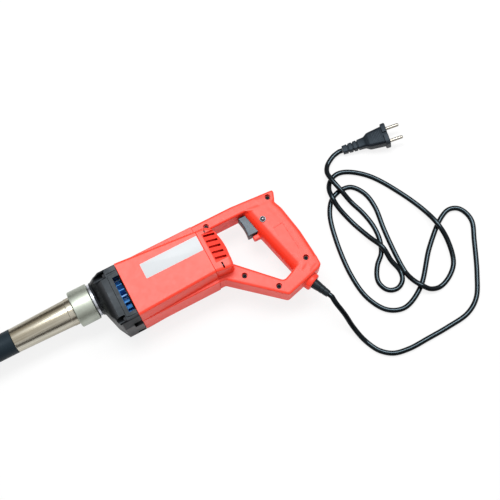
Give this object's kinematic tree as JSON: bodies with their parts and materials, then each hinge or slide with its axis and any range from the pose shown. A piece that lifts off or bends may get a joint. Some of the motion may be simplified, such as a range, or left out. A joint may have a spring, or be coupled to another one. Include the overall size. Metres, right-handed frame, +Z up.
{
  "type": "concrete vibrator",
  "caption": "Hand-held electric concrete vibrator lying on its side: motor barrel, D-handle with trigger, gear case, coupling nut, flexible hose with poker head, mains cord and plug.",
  "frame": {"origin": "on the flat lower side of the motor barrel, straight below the spindle axis, at the middle of the barrel's length", "axes": "+X along the spindle from the hose to the handle, +Y toward the trigger side of the tool, +Z up from the side it lies on"},
  "size_m": [1.1077, 0.5788, 0.089],
  "materials": {
    "red_plastic": "satin moulded red plastic",
    "black_casting": "black painted die casting",
    "blue_plastic": "blue moulded plastic",
    "aluminium": "turned aluminium",
    "plated_steel": "turned and plated steel",
    "dark_steel": "dark machined steel",
    "copper": "lacquered copper",
    "brass": "plain brass",
    "carbon": "pressed carbon",
    "rubber": "black rubber",
    "black_plastic": "black moulded plastic",
    "grey_plastic": "dark grey moulded plastic",
    "chrome": "bright plating"
  },
  "bodies": {
    "tool": {"brush_bracket": "black_plastic", "brush_holder_low": "brass", "brush_holder_top": "brass", "carbon_brush_low": "carbon", "carbon_brush_top": "carbon", "case_screw_low_lower": "dark_steel", "case_screw_low_upper": "dark_steel", "case_screw_top_lower": "dark_steel", "case_screw_top_upper": "dark_steel", "cord_boot": "rubber", "cord_clamp": "black_plastic", "field_coil_lower": "copper", "field_coil_upper": "copper", "flexible_core": "dark_steel", "front_bearing": "plated_steel", "gear_case": "black_casting", "gear_plate": "aluminium", "handle_screw_arm": "dark_steel", "handle_screw_front": "dark_steel", "handle_screw_grip": "dark_steel", "handle_screw_low": "dark_steel", "handle_screw_top": "dark_steel", "handle_shell_lower": "red_plastic", "handle_shell_upper": "red_plastic", "head_bearing_front": "plated_steel", "head_bearing_rear": "plated_steel", "head_ferrule": "plated_steel", "head_tip": "plated_steel", "head_tube": "plated_steel", "hose_ferrule": "plated_steel", "inner_lead": "rubber", "lock_ring": "chrome", "mains_cord": "rubber", "motor_housing": "red_plastic", "plug_body": "black_plastic", "plug_pin_1": "plated_steel", "plug_pin_2": "plated_steel", "rear_bearing": "plated_steel", "rubber_hose": "rubber", "spigot": "aluminium", "spindle_bearing": "plated_steel", "spindle_bush": "brass", "stator_core": "dark_steel", "switch_body": "black_plastic"},
    "armature": {"armature_shaft": "dark_steel", "armature_core": "dark_steel", "winding_front": "copper", "winding_rear": "copper", "commutator": "copper", "fan": "blue_plastic"},
    "spindle": {"output_spindle": "dark_steel", "spindle_gear": "dark_steel", "core_drive_end": "dark_steel"},
    "rotor": {"pendulum_rotor": "dark_steel"},
    "trigger": {"trigger": "grey_plastic"},
    "lock_button": {"lock_button": "chrome"},
    "nut": {"coupling_nut": "plated_steel"}
  },
  "joints": [
    {"name": "armature_spin", "type": "hinge", "parent": "tool", "child": "armature", "pos_m": [0, -0.0195, 0.0445], "axis": [1, 0, 0], "continuous": true},
    {"name": "spindle_spin", "type": "hinge", "parent": "tool", "child": "spindle", "pos_m": [0, 0, 0.0445], "axis": [1, 0, 0], "continuous": true},
    {"name": "rotor_spin", "type": "hinge", "parent": "tool", "child": "rotor", "pos_m": [-0.4271, 0.314, 0.0178], "axis": [1, 0, 0], "continuous": true},
    {"name": "trigger_press", "type": "slide", "parent": "tool", "child": "trigger", "axis": [1, 0, 0], "range_m": [0, 0.007], "stiffness_N_per_m": 800, "springref_m": -0.004},
    {"name": "lock_press", "type": "slide", "parent": "tool", "child": "lock_button", "axis": [0, 0, -1], "range_m": [0, 0.0026], "stiffness_N_per_m": 500, "springref_m": -0.002},
    {"name": "coupling_nut_turn", "type": "hinge", "parent": "tool", "child": "nut", "pos_m": [-0.1134, 0, 0.0445], "axis": [1, 0, 0], "continuous": true}
  ],
  "couplings": [
    {"joint": "spindle_spin", "follows": "armature_spin", "ratio": -0.3},
    {"joint": "rotor_spin", "follows": "armature_spin", "ratio": 0.3}
  ]
}
